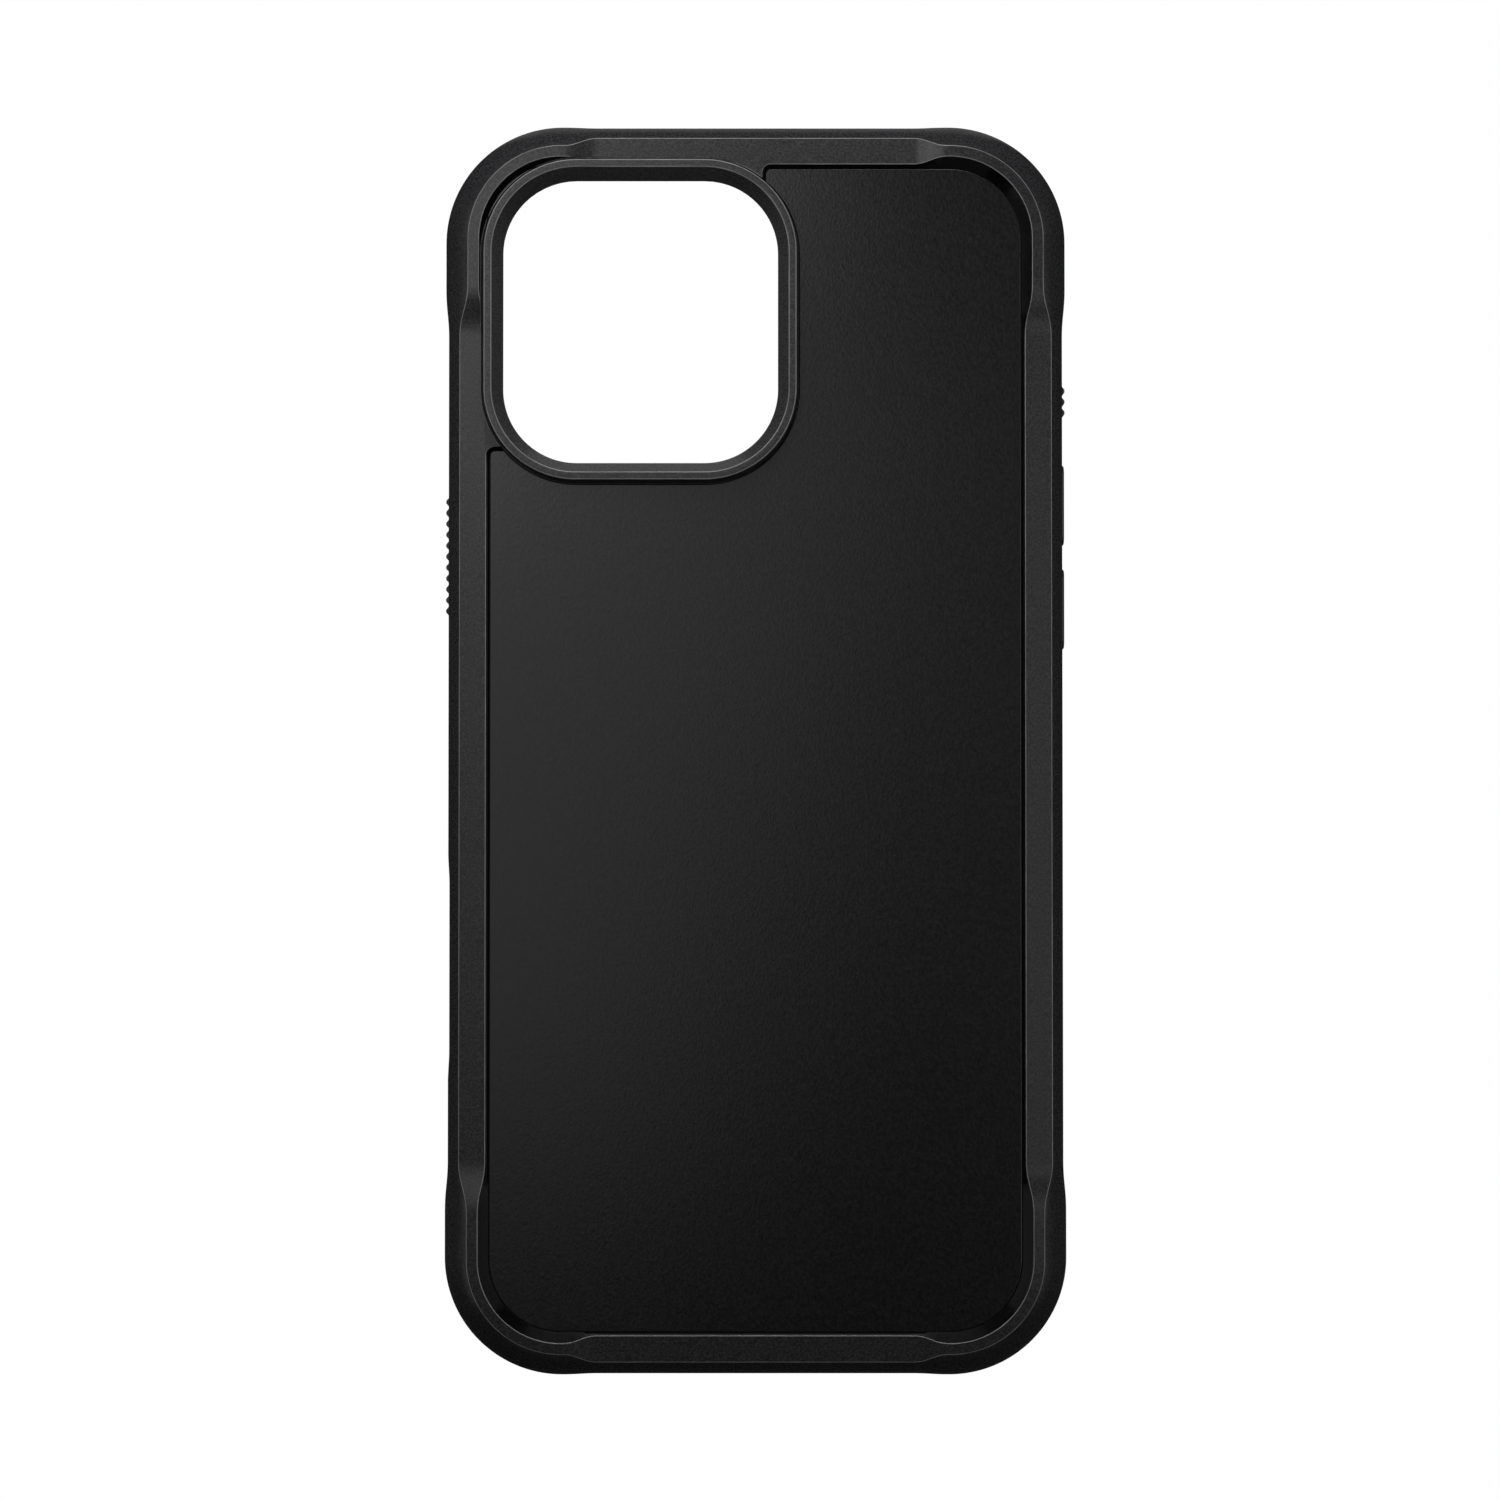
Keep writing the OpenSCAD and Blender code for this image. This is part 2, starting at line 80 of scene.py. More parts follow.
def new_material(name):
    """A new material, its node tree and its surface node."""
    made = bpy.data.materials.new(name)
    made.use_nodes = True
    return made, made.node_tree, made.node_tree.nodes["Principled BSDF"]


bpy.ops.object.select_all(action="DESELECT")
table_size = 12
bpy.ops.mesh.primitive_plane_add(size=table_size, location=(0, 0, low.z))
table = bpy.context.object
table.name = "table_top"
white, tree, _ = new_material("white_table")
glow = tree.nodes.new("ShaderNodeEmission")
glow.inputs["Color"].default_value = (1, 1, 1, 1)
glow.inputs["Strength"].default_value = 1.0
clear = tree.nodes.new("ShaderNodeBsdfTransparent")
facing = tree.nodes.new("ShaderNodeNewGeometry")
one_sided = tree.nodes.new("ShaderNodeMixShader")
tree.links.new(facing.outputs["Backfacing"], one_sided.inputs["Fac"])
tree.links.new(glow.outputs["Emission"], one_sided.inputs[1])
tree.links.new(clear.outputs["BSDF"], one_sided.inputs[2])
tree.links.new(one_sided.outputs["Shader"], tree.nodes["Material Output"].inputs["Surface"])
table.data.materials.append(white)
table.visible_diffuse = False
table.visible_glossy = False
table.visible_shadow = False

# The sweep behind the table looks white, and only a little of it lights the case.
world = bpy.data.worlds.new("studio_air")
world.use_nodes = True
tree = world.node_tree
tree.nodes["Background"].inputs["Color"].default_value = (1, 1, 1, 1)
tree.nodes["Background"].inputs["Strength"].default_value = 0.012
sweep = tree.nodes.new("ShaderNodeBackground")
sweep.inputs["Color"].default_value = (1, 1, 1, 1)
sight = tree.nodes.new("ShaderNodeLightPath")
seen = tree.nodes.new("ShaderNodeMixShader")
tree.links.new(sight.outputs["Is Camera Ray"], seen.inputs["Fac"])
tree.links.new(tree.nodes["Background"].outputs["Background"], seen.inputs[1])
tree.links.new(sweep.outputs["Background"], seen.inputs[2])
tree.links.new(seen.outputs["Shader"], tree.nodes["World Output"].inputs["Surface"])
bpy.context.scene.world = world


def soft_box(name, azimuth, elevation, width, depth, power, distance=0.8):
    """A lamp in the direction (azimuth from +X, elevation), aimed at the case."""
    a, e = math.radians(azimuth), math.radians(elevation)
    way = Vector((math.cos(a) * math.cos(e), math.sin(a) * math.cos(e), math.sin(e)))
    bpy.ops.object.light_add(type="AREA", location=middle + way * distance)
    lamp = bpy.context.object
    lamp.name = name
    lamp.rotation_euler = way.to_track_quat("Z", "Y").to_euler()
    lamp.data.shape = "RECTANGLE"
    lamp.data.size = width
    lamp.data.size_y = depth
    lamp.data.energy = power
    lamp.visible_camera = False
    return lamp


# Azimuth and elevation in degrees, width and depth in metres, power in watts, distance
soft_box("right_window", 0, 45, 0.35, 0.35, 0.75)
soft_box("right_strip", 0, 11, 1.0, 0.12, 0.4)
soft_box("right_high", 0, 68, 0.3, 0.3, 0.17)
soft_box("key", 135, 68, 0.3, 0.3, 0.14)
soft_box("key_low", 135, 45, 0.35, 0.35, 0.08)
soft_box("glow", 158, 80, 0.3, 0.3, 0.14)
soft_box("top_strip", 90, 14, 0.8, 0.2, 0.45)
soft_box("near_top", 90, 35, 0.14, 0.14, 0.34, 0.32)
soft_box("near_corner", 135, 35, 0.14, 0.14, 0.14, 0.32)
soft_box("near_key", 120, 60, 0.14, 0.14, 0.06, 0.32)
soft_box("near_left", 180, 35, 0.14, 0.14, 0.03, 0.32)
soft_box("low_front", 270, 8, 1.0, 0.12, 0.06)
soft_box("low_left", 180, 8, 1.0, 0.12, 0.3)
soft_box("table_glint", 90, -42, 0.5, 0.5, 0.16)
for azimuth, power in ((0, 1.2), (90, 2.0), (180, 1.6), (270, 1.2)):
    bounce = soft_box(f"table_bounce_{azimuth}", azimuth, -45, 0.5, 0.5, power)
    bounce.visible_glossy = False


# ---- Core shell ----
# The stiff inner shell is injection-moulded polycarbonate with a fine satin finish inside.
# The phone presses into it, and the soft bumper is moulded round it.
def join_nodes(tree, pairs):
    """Links each output to its input."""
    for source, target in pairs:
        tree.links.new(source, target)


def colour_steps(tree, stops):
    """A colour ramp with the given (position, colour) stops."""
    ramp = tree.nodes.new("ShaderNodeValToRGB")
    first, last = ramp.color_ramp.elements
    first.position, first.color = stops[0][0], (*stops[0][1], 1)
    last.position, last.color = stops[-1][0], (*stops[-1][1], 1)
    for place, colour in stops[1:-1]:
        ramp.color_ramp.elements.new(place).color = (*colour, 1)
    return ramp


def noise_at(tree, feature, detail, stretch=(1, 1, 1), turn=0):
    """Noise in object space whose features are about the given size."""
    coords = tree.nodes.new("ShaderNodeTexCoord")
    place = tree.nodes.new("ShaderNodeMapping")
    place.inputs["Scale"].default_value = stretch
    place.inputs["Rotation"].default_value = (0, 0, turn)
    noise = tree.nodes.new("ShaderNodeTexNoise")
    noise.inputs["Scale"].default_value = 1 / feature
    noise.inputs["Detail"].default_value = detail
    join_nodes(tree, [(coords.outputs["Object"], place.inputs["Vector"]),
                      (place.outputs["Vector"], noise.inputs["Vector"])])
    return noise


def moulded(name, dark, pale, grain, rough, relief, painted_highlight=None, shine=0.5, stretch=(1, 1, 1), turn=0):
    """Moulded plastic: dark with fine pale grain, uneven gloss, a sparked skin, and eased edges whose paler
    colour is a painted highlight.
    """
    made, tree, surface = new_material(name)
    surface.inputs["Specular IOR Level"].default_value = shine
    patch_size, highlight_patch_size = 14 * MM, 5 * MM
    halfway = [(d + p) / 2 for d, p in zip(dark, pale)]
    speckle = noise_at(tree, grain, 2, stretch, turn)
    colours = colour_steps(tree, [(0.38, dark), (0.52, halfway), (0.66, pale)])
    patches = noise_at(tree, patch_size, 3)
    uneven = tree.nodes.new("ShaderNodeMix")
    uneven.inputs["Factor"].default_value = 0.3
    gloss = tree.nodes.new("ShaderNodeMapRange")
    gloss.inputs["To Min"].default_value = rough[0]
    gloss.inputs["To Max"].default_value = rough[1]
    skin = noise_at(tree, 0.8 * grain, 2, stretch, turn)
    bump = tree.nodes.new("ShaderNodeBump")
    bump.inputs["Distance"].default_value = relief
    bump.inputs["Strength"].default_value = 0.6
    # painted highlight: faces marked as eased edges get a paler colour, in uneven patches, standing in for
    # the light their rounding catches
    edges = tree.nodes.new("ShaderNodeAttribute")
    edges.attribute_name = "painted_highlight"
    highlight_patches = noise_at(tree, highlight_patch_size, 2)
    highlight_amount = tree.nodes.new("ShaderNodeMath")
    highlight_amount.operation = "MULTIPLY"
    highlight_amount.use_clamp = True
    uneven_highlight = tree.nodes.new("ShaderNodeMapRange")
    uneven_highlight.inputs["To Min"].default_value = 0.3
    uneven_highlight.inputs["To Max"].default_value = 1.3
    highlight_mix = tree.nodes.new("ShaderNodeMix")
    highlight_mix.data_type = "RGBA"
    highlight_mix.inputs["B"].default_value = (*(painted_highlight or pale), 1)
    join_nodes(tree, [
        (speckle.outputs["Fac"], colours.inputs["Fac"]),
        (speckle.outputs["Fac"], uneven.inputs["A"]),
        (patches.outputs["Fac"], uneven.inputs["B"]),
        (uneven.outputs["Result"], gloss.inputs["Value"]),
        (gloss.outputs["Result"], surface.inputs["Roughness"]),
        (skin.outputs["Fac"], bump.inputs["Height"]),
        (bump.outputs["Normal"], surface.inputs["Normal"]),
        (edges.outputs["Fac"], highlight_amount.inputs[0]),
        (highlight_patches.outputs["Fac"], uneven_highlight.inputs["Value"]),
        (uneven_highlight.outputs["Result"], highlight_amount.inputs[1]),
        (highlight_amount.outputs["Value"], highlight_mix.inputs["Factor"]),
        (colours.outputs["Color"], highlight_mix.inputs["A"]),
        (highlight_mix.outputs["Result"], surface.inputs["Base Color"])])
    return made


def paint(node, material):
    """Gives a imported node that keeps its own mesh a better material."""
    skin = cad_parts[node]
    for place in skin.material_slots:
        place.material = material


core_black = moulded("core_black", (0.010, 0.010, 0.011), (0.026, 0.026, 0.028), 0.3 * MM,
                     (0.38, 0.5), 0.01 * MM)
paint("core_shell", core_black)
core_low, core_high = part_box("core_shell")


# ---- Lining ----
# A thin sheet of brushed microfibre glued inside the core, so that the phone's back glass
# touches only cloth. Its nap is short, with darker streaks where it has been stroked.
def napped(name, dark, pale):
    """Cloth with a short nap, and darker and paler strokes across it."""
    made, tree, surface = new_material(name)
    nap = noise_at(tree, 0.22 * MM, 4, (1, 0.35, 1))
    strokes = noise_at(tree, 9 * MM, 2, (1, 0.3, 1), 0.4)
    colours = colour_steps(tree, [(0.3, dark), (0.7, pale)])
    both = tree.nodes.new("ShaderNodeMath")
    both.operation = "MULTIPLY_ADD"
    both.inputs[1].default_value = 0.5
    halve = tree.nodes.new("ShaderNodeMath")
    halve.operation = "MULTIPLY"
    halve.inputs[1].default_value = 0.5
    bump = tree.nodes.new("ShaderNodeBump")
    bump.inputs["Distance"].default_value = 0.06 * MM
    bump.inputs["Strength"].default_value = 0.8
    rough = tree.nodes.new("ShaderNodeMapRange")
    rough.inputs["To Min"].default_value = 0.85
    rough.inputs["To Max"].default_value = 1.0
    surface.inputs["Sheen Weight"].default_value = 0.35
    surface.inputs["Sheen Roughness"].default_value = 0.5
    join_nodes(tree, [
        (nap.outputs["Fac"], both.inputs[0]), (strokes.outputs["Fac"], halve.inputs[0]),
        (halve.outputs["Value"], both.inputs[2]), (both.outputs["Value"], colours.inputs["Fac"]),
        (colours.outputs["Color"], surface.inputs["Base Color"]),
        (strokes.outputs["Fac"], rough.inputs["Value"]),
        (rough.outputs["Result"], surface.inputs["Roughness"]),
        (nap.outputs["Fac"], bump.inputs["Height"]), (bump.outputs["Normal"], surface.inputs["Normal"])])
    return made


paint("liner", napped("lining_nap", (0.012, 0.012, 0.013), (0.05, 0.05, 0.052)))


# ---- Magnets, film and antenna ----
# Eighteen nickel-plated magnet blocks and one straight one sit on a thin polyester film in
# the core's recess, with a flat copper coil and its chip inside their circle.
def plated(name, dull, bright, rough, metal):
    """Metal or film with fine scratches and a slightly cloudy face."""
    made, tree, surface = new_material(name)
    scratches = noise_at(tree, 0.4 * MM, 5, (1, 0.08, 1), 0.7)
    cloud = noise_at(tree, 5 * MM, 3)
    colours = colour_steps(tree, [(0.35, dull), (0.65, bright)])
    gloss = tree.nodes.new("ShaderNodeMapRange")
    gloss.inputs["To Min"].default_value = rough[0]
    gloss.inputs["To Max"].default_value = rough[1]
    bump = tree.nodes.new("ShaderNodeBump")
    bump.inputs["Distance"].default_value = 0.004 * MM
    bump.inputs["Strength"].default_value = 0.4
    surface.inputs["Metallic"].default_value = metal
    join_nodes(tree, [
        (cloud.outputs["Fac"], colours.inputs["Fac"]),
        (colours.outputs["Color"], surface.inputs["Base Color"]),
        (scratches.outputs["Fac"], gloss.inputs["Value"]),
        (gloss.outputs["Result"], surface.inputs["Roughness"]),
        (scratches.outputs["Fac"], bump.inputs["Height"]),
        (bump.outputs["Normal"], surface.inputs["Normal"])])
    return made


nickel = plated("nickel_plate", (0.46, 0.46, 0.47), (0.66, 0.65, 0.63), (0.22, 0.4), 1)
paint("magnet_segments", nickel)
paint("aligning_magnet", nickel)
paint("magnet_film", plated("polyester_film", (0.42, 0.38, 0.28), (0.56, 0.52, 0.41), (0.25, 0.45), 0))
paint("antenna_coil", plated("copper_track", (0.55, 0.24, 0.13), (0.78, 0.4, 0.25), (0.2, 0.4), 1))
paint("antenna_chip", plated("chip_epoxy", (0.01, 0.01, 0.011), (0.03, 0.03, 0.032), (0.45, 0.6), 0))


# ---- Adhesive sheet ----
# A thin double-sided foam sheet, cut a little smaller than the panel that it holds down.
paint("panel_adhesive", moulded("adhesive_foam", (0.05, 0.05, 0.052), (0.11, 0.11, 0.112), 0.4 * MM,
                                (0.7, 0.85), 0.02 * MM))


# ---- Back panel ----
# A thin hard sheet with a very fine matte grain that runs slightly on the diagonal. It is
# punched out with eased edges and glued into the pocket between the band and the lens ring.
def select_where(thing, test):
    """Selects the points for which the test holds, in edit mode, and what lies between them."""
    bpy.ops.object.mode_set(mode="OBJECT")
    for point in thing.data.vertices:
        point.select = test(point.co)
    for edge in thing.data.edges:
        edge.select = all(thing.data.vertices[i].select for i in edge.vertices)
    for face in thing.data.polygons:
        face.select = all(thing.data.vertices[i].select for i in face.vertices)
    bpy.ops.object.mode_set(mode="EDIT")


# Faces narrower than this are the eased edges, whose colour is painted pale as a painted highlight.
eased = 0.1 * MM


def finish_piece(thing, material, body, angle=35):
    """Shades a finished mesh, paints it and hangs it on its body."""
    bpy.ops.object.mode_set(mode="OBJECT")
    bpy.ops.object.select_all(action="DESELECT")
    thing.select_set(True)
    bpy.context.view_layer.objects.active = thing
    bpy.ops.object.shade_smooth_by_angle(angle=math.radians(angle))
    weigh = thing.modifiers.new("even_shading", "WEIGHTED_NORMAL")
    weigh.keep_sharp = True
    weigh.weight = 80
    bpy.ops.object.modifier_apply(modifier="even_shading")
    # the narrow eased faces are marked for the material's painted highlight
    painted_highlight = thing.data.attributes.new("painted_highlight", "FLOAT", "FACE")
    for face in thing.data.polygons:
        rim = [thing.data.vertices[i].co for i in face.vertices]
        longest = max((a - b).length for a, b in zip(rim, rim[1:] + rim[:1]))
        painted_highlight.data[face.index].value = float(face.area < eased * longest)
    thing.data.materials.clear()
    thing.data.materials.append(material)
    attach(thing, body)


def copy_node(node, name):
    """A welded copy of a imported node's mesh, with its flat faces whole again, in edit mode."""
    bpy.ops.object.select_all(action="DESELECT")
    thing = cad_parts[node].copy()
    thing.data = thing.data.copy()
    thing.name = name
    thing.parent = None
    for key in [k for k in thing.keys() if k.startswith("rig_")]:
        del thing[key]
    bpy.context.collection.objects.link(thing)
    thing.select_set(True)
    bpy.context.view_layer.objects.active = thing
    bpy.ops.object.mode_set(mode="EDIT")
    bpy.ops.mesh.select_all(action="SELECT")
    bpy.ops.mesh.remove_doubles(threshold=0.002 * MM)
    bpy.ops.mesh.dissolve_limited(angle_limit=math.radians(0.3))
    return thing


bpy.context.tool_settings.mesh_select_mode = (True, True, False)
panel_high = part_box("back_panel")[1]
panel_ease = 0.14 * MM
panel = copy_node("back_panel", "panel_sheet")
select_where(panel, lambda co: co.z > panel_high.z - 0.01 * MM)
bpy.ops.mesh.bevel(offset=panel_ease, segments=3, affect="EDGES", clamp_overlap=True)
panel_grain = moulded("panel_grain", (0.002, 0.002, 0.002), (0.008, 0.008, 0.008), 0.38 * MM,
                      (0.19, 0.24), 0.016 * MM, painted_highlight=(0.02, 0.02, 0.02), shine=0.7,
                      stretch=(1, 0.7, 1), turn=math.radians(35))
finish_piece(panel, panel_grain, "case")
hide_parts("back_panel")


# ---- Bumper ----
# One soft shell of black elastomer moulded round the core: a rounded front rim, flat side
# walls, a flat band round the panel, four raised and swollen corners, and the two flat
# corners that join the band to the lens ring.
core_out = 1.25 * MM
edge = Vector((core_high.x - core_out, core_high.y - core_out))
corner_radius = 12.5 * MM
arc = Vector((edge.x - corner_radius, edge.y - corner_radius))
bumper_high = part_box("bumper_frame")[1]
ring_low, ring_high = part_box("lens_ring")
bond = 0.03 * MM
plate = 1 * MM
ridge_rise = 0.8 * MM
side_swell, end_swell = 0.45 * MM, 0.25 * MM
z_rim = core_low.z - bond
z_deck = core_high.z + bond
z_panel = panel_high.z
z_ridge = bumper_high.z
z_band = z_ridge - ridge_rise
z_plate = core_high.z - plate
side_wall = bumper_high.x - edge.x - side_swell
end_wall = bumper_high.y - edge.y - end_swell
corner_wall = bumper_high.x - edge.x
band_out, band_in = 1.3 * MM, -2.3 * MM
ridge_out, ridge_in = 0.16 * MM, -1.32 * MM
pocket_foot = -2.7 * MM
seat = 1.28 * MM
lip_in = -1.2 * MM
wall_drop, corner_drop = 1.5 * MM, 2.4 * MM
foot_round, lip_foot_round, lip_top_round = 0.9 * MM, 0.35 * MM, 0.3 * MM
brow_round, crest_round = 0.16 * MM, 0.14 * MM
lean_steps = 9
corner_run = 5.9 * MM
side_ramp, end_ramp = 7.6 * MM, 5.2 * MM
ramp_steps = 20


def corner_arc(before, at, after, radius, steps):
    """Points along the arc that rounds the corner at a point, between its two neighbours."""
    u, v = (before - at).normalized(), (after - at).normalized()
    half = u.angle(v) / 2
    centre = at + (u + v).normalized() * (radius / math.sin(half))
    a = at + u * (radius / math.tan(half)) - centre
    b = at + v * (radius / math.tan(half)) - centre
    turn = a.angle(b)
    return [centre + (a * math.sin((1 - t) * turn) + b * math.sin(t * turn)) / math.sin(turn)
            for t in [i / steps for i in range(steps + 1)]]


def soften(corners, steps):
    """Rounds each corner [x, y, radius] of a closed outline."""
    points = []
    for i, (x, y, radius) in enumerate(corners):
        before, after = Vector(corners[i - 1][:2]), Vector(corners[(i + 1) % len(corners)][:2])
        at = Vector((x, y))
        points += corner_arc(before, at, after, radius, steps) if radius else [at]
    return points


def draw_loop(points, name):
    """A closed loop of edges through the points, drawn in edit mode from a single point."""
    bpy.ops.object.select_all(action="DESELECT")
    bpy.ops.mesh.primitive_plane_add(size=MM, location=(0, 0, 0), enter_editmode=True)
    bpy.ops.mesh.merge(type="CENTER")
    bpy.ops.transform.translate(value=points[0])
    for a, b in zip(points, points[1:]):
        bpy.ops.mesh.extrude_vertices_move(TRANSFORM_OT_translate={"value": b - a})
    loop = bpy.context.object
    loop.name = name
    ends = (points[0], points[-1])
    select_where(loop, lambda co: any((co - p).length < 1e-7 for p in ends))
    bpy.ops.mesh.edge_face_add()
    bpy.ops.mesh.select_all(action="SELECT")
    return loop


def merge_objects(things):
    """Joins the things into the first one, with shared points merged, and opens it for editing."""
    bpy.ops.object.mode_set(mode="OBJECT")
    bpy.ops.object.select_all(action="DESELECT")
    for thing in things:
        thing.select_set(True)
    bpy.context.view_layer.objects.active = things[0]
    bpy.ops.object.join()
    bpy.ops.object.mode_set(mode="EDIT")
    bpy.ops.mesh.select_all(action="SELECT")
    bpy.ops.mesh.remove_doubles(threshold=0.001 * MM)
    return things[0]


def wall_profile(wall, drop, top_out, top_in, top, fall):
    """The bumper's section: [distance out from the phone's edge, height] round the wall."""
    start, brow = z_plate - drop, top - fall
    lean = [(wall - (wall - top_out) * (i / lean_steps) ** 2, start + (brow - start) * i / lean_steps, 0)
            for i in range(lean_steps)]
    return soften([(wall, 0, foot_round)] + lean + [
        (top_out, brow, brow_round), (top_in, top, crest_round), (pocket_foot, z_panel, 0),
        (pocket_foot, z_deck, 0), (seat, z_deck, 0), (seat, z_rim, 0),
        (lip_in, z_rim, lip_top_round), (lip_in, 0, lip_foot_round)], 4)


def along_side(points, y):
    """The section's points across the side wall, at a place along it."""
    return [Vector((edge.x + out, y, z)) for out, z in points]


def along_end(points, x):
    """The section's points across the upper end wall, at a place along it."""
    return [Vector((x, edge.y + out, z)) for out, z in points]


band_fall, ridge_fall = 0.35 * MM, 0.14 * MM
side_section = wall_profile(side_wall, wall_drop, band_out, band_in, z_band, band_fall)
end_section = wall_profile(end_wall, wall_drop, band_out, band_in, z_band, band_fall)
corner_section = wall_profile(corner_wall, corner_drop, ridge_out, ridge_in, z_ridge, ridge_fall)

side_stretch = draw_loop(along_side(side_section, 0), "bumper")
bpy.ops.mesh.extrude_edges_move(TRANSFORM_OT_translate={"value": (0, arc.y - corner_run - side_ramp, 0)})
bpy.ops.object.mode_set(mode="OBJECT")
guard = draw_loop(along_side(corner_section, arc.y - corner_run), "guard")
bpy.ops.mesh.extrude_edges_move(TRANSFORM_OT_translate={"value": (0, corner_run, 0)})
bpy.ops.mesh.spin(steps=40, angle=math.pi / 2, center=(arc.x, arc.y, 0), axis=(0, 0, -1))
bpy.ops.object.mode_set(mode="OBJECT")
end_stretch = draw_loop(along_end(end_section, arc.x - end_ramp), "end_stretch")
bpy.ops.mesh.extrude_edges_move(TRANSFORM_OT_translate={"value": (end_ramp - arc.x, 0, 0)})
bpy.ops.object.mode_set(mode="OBJECT")
stations = {1: [arc.y - corner_run - side_ramp], 0: [arc.x - end_ramp]}
ramps = []
for step in range(1, ramp_steps):
    # the change from one section to the other comes in softly at both ends of a ramp
    t = step / ramp_steps
    share = t ** 3 * (10 - 15 * t + 6 * t * t)
    stations[1].append(stations[1][0] + t * side_ramp)
    stations[0].append(stations[0][0] + t * end_ramp)
    for plan, section in ((along_side, side_section), (along_end, end_section)):
        between = [a + (b - a) * share for a, b in zip(section, corner_section)]
        ramps.append(draw_loop(plan(between, stations[plan is along_side][-1]), "ramp"))
        bpy.ops.object.mode_set(mode="OBJECT")
stations[1].append(arc.y - corner_run)
stations[0].append(arc.x)
bumper = merge_objects([side_stretch, guard, end_stretch] + ramps)


def near(value, *places):
    """Whether a value lies at one of the places."""
    return any(abs(value - place) < 0.001 * MM for place in places)


for axis, places in stations.items():
    select_where(bumper, lambda co: near(co[axis], *places) and co[1 - axis] > arc[1 - axis])
    bpy.ops.mesh.bridge_edge_loops()


def mirror_quarter(thing):
    """Completes a shape from its quarter on the +X, +Y side."""
    bpy.ops.object.mode_set(mode="OBJECT")
    halves = thing.modifiers.new("halves", "MIRROR")
    halves.use_axis = (True, True, False)
    halves.merge_threshold = 0.001 * MM
    bpy.ops.object.modifier_apply(modifier="halves")


def outward(thing):
    """Merges doubles and turns every face outwards."""
    bpy.ops.object.mode_set(mode="EDIT")
    bpy.ops.mesh.select_all(action="SELECT")
    bpy.ops.mesh.remove_doubles(threshold=0.0005 * MM)
    bpy.ops.mesh.normals_make_consistent(inside=False)
    bpy.ops.object.mode_set(mode="OBJECT")


def stack_loops(loops, name):
    """A closed solid through loops that all have the same number of points."""
    rings = []
    for i, points in enumerate(loops):
        rings.append(draw_loop(points, f"{name}_{i}"))
        bpy.ops.object.mode_set(mode="OBJECT")
    solid = merge_objects(rings)
    solid.name = name

    def pick(points):
        places = KDTree(len(points))
        for i, point in enumerate(points):
            places.insert(point, i)
        places.balance()
        select_where(solid, lambda co: places.find(co)[2] < 0.0005 * MM)

    for below, above in zip(loops, loops[1:]):
        pick(below + above)
        bpy.ops.mesh.bridge_edge_loops()
    for points in (loops[0], loops[-1]):
        pick(points)
        bpy.ops.mesh.edge_face_add()
    outward(solid)
    return solid


def combine(thing, tool, operation):
    """Adds the tool to the thing, cuts it away or keeps what they share, and removes the tool."""
    cut = thing.modifiers.new("tool", "BOOLEAN")
    cut.operation = operation
    cut.object = tool
    cut.solver = "EXACT"
    bpy.context.view_layer.objects.active = thing
    bpy.ops.object.modifier_apply(modifier="tool")
    bpy.data.objects.remove(tool)


mirror_quarter(bumper)
outward(bumper)

# The flat corners beside the lens ring stop at two straight edges, rounded where they meet
# the band, and their flanks lean like the pocket's wall.
opening = Vector(((ring_low.x + ring_high.x) / 2, (ring_low.y + ring_high.y) / 2))
ring_top_out, ring_foot_out = 2.5 * MM, 2.7 * MM
opening_half = Vector((ring_high.x - opening.x - ring_foot_out, ring_high.y - opening.y - ring_foot_out))
opening_radius = 10 * MM
web_inset = 2.15 * MM
web_edge = Vector((opening.x + opening_half.x - web_inset, opening.y - opening_half.y + web_inset))
fillet = 1.2 * MM
root = 0.2 * MM
buried = 0.02 * MM


def web_outline(out, z):
    """The flat corners' plan, with its two free edges moved out by a distance."""
    x, y = web_edge.x + out, web_edge.y - out
    pocket = Vector((-(edge.x + band_in - out + buried), edge.y + band_in - out + buried))
    far = Vector((-(edge.x + band_in + root), edge.y + band_in + root))
    plan = soften([
        (far.x, far.y, corner_radius + band_in + root), (x + 2 * fillet, far.y, 0),
        (x + 2 * fillet, pocket.y, 0), (x, pocket.y, fillet - out), (x, y, 0),
        (pocket.x, y, fillet - out), (pocket.x, y - 2 * fillet, 0), (far.x, y - 2 * fillet, 0)], 10)
    return [Vector((p.x, p.y, z)) for p in plan]


flank = band_in - pocket_foot
web = stack_loops([web_outline(flank, z_deck + 0.1 * MM), web_outline(flank, z_panel),
                   web_outline(0.07 * MM, z_band - 0.14 * MM), web_outline(0, z_band - 0.04 * MM),
                   web_outline(-0.06 * MM, z_band)], "web")
combine(bumper, web, "UNION")


def ring_outline(out, z):
    """The lens opening's outline, moved out by a distance."""
    half = opening_half + Vector((out, out))
    plan = soften([(opening.x + sx * half.x, opening.y + sy * half.y, opening_radius + out)
                   for sx, sy in ((1, 1), (-1, 1), (-1, -1), (1, -1))], 24)
    return [Vector((p.x, p.y, z)) for p in plan]


def flare_steps(radius, count=4):
    """Steps (out, up) along a quarter circle, for a cutter that leaves a rounded rim."""
    return [(radius * (1 - math.cos(math.radians(90 * i / count))),
             radius * math.sin(math.radians(90 * i / count))) for i in range(count + 1)]


ring_clear = 2.9 * MM
seat_rim = 0.14 * MM
ring_seat = stack_loops(
    [ring_outline(ring_clear, z_plate)]
    + [ring_outline(ring_clear + out, z_band - seat_rim + up) for out, up in flare_steps(seat_rim)]
    + [ring_outline(ring_clear + seat_rim, z_ridge + MM)], "ring_seat")
combine(bumper, ring_seat, "DIFFERENCE")


